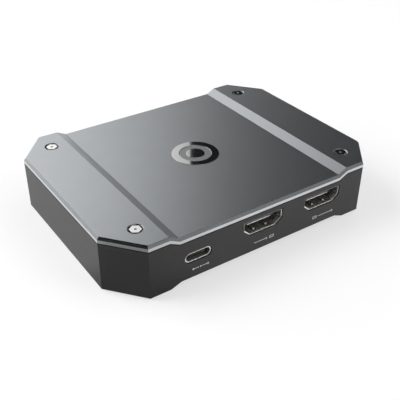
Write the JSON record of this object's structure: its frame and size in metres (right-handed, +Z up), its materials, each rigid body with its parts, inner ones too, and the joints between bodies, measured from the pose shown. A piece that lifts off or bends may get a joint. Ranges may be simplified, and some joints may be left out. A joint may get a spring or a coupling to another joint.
{
  "type": "video capture box",
  "caption": "Low octagonal case with a stepped metal cover, hexagon-head screws, a data socket, video sockets in front and audio sockets behind, for capturing a video signal.",
  "frame": {"origin": "centre of the plan, on the surface that the feet stand on", "axes": "+Z up, -Y out of the front face with the data and video sockets, +X along the front face"},
  "size_m": [0.1, 0.0754, 0.0189],
  "materials": {
    "cover_metal": "satin grey anodised",
    "polished_metal": "polished",
    "tray_plastic": "fine matt texture",
    "brass": "turned",
    "rubber": "matt",
    "board": "black solder mask",
    "socket_steel": "nickel plated",
    "socket_plastic": "moulded",
    "gold_contact": "gold flashed",
    "lamp": "moulded",
    "clear_plastic": "frosted clear",
    "chip": "moulded",
    "ferrite": "sintered",
    "bare_metal": "machined",
    "ceramic": "fired",
    "heat_pad": "soft silicone"
  },
  "bodies": {
    "root": {"top_cover": "cover_metal", "cover_mark": "polished_metal", "base_tray": "tray_plastic", "cover_screws": "polished_metal", "threaded_inserts": "brass", "rubber_feet": "rubber", "main_board": "board", "board_screws": "socket_steel", "data_port_shell": "socket_steel", "data_port_tongue": "socket_plastic", "data_port_contacts": "gold_contact", "video_in_shell": "socket_steel", "video_in_tongue": "socket_plastic", "video_in_contacts": "gold_contact", "video_out_shell": "socket_steel", "video_out_tongue": "socket_plastic", "video_out_contacts": "gold_contact", "left_jack_body": "socket_plastic", "left_jack_springs": "gold_contact", "right_jack_body": "socket_plastic", "right_jack_springs": "gold_contact", "status_lamp": "lamp", "light_pipe": "clear_plastic", "capture_processor": "chip", "splitter_chip": "chip", "memory_chips": "chip", "audio_codec": "chip", "firmware_chip": "chip", "clock_crystals": "socket_steel", "power_inductors": "ferrite", "bulk_capacitors": "bare_metal", "chip_capacitors": "ceramic", "surge_protectors": "chip", "lower_heat_pad": "heat_pad", "heat_block": "bare_metal", "upper_heat_pad": "heat_pad"}
  },
  "joints": []
}
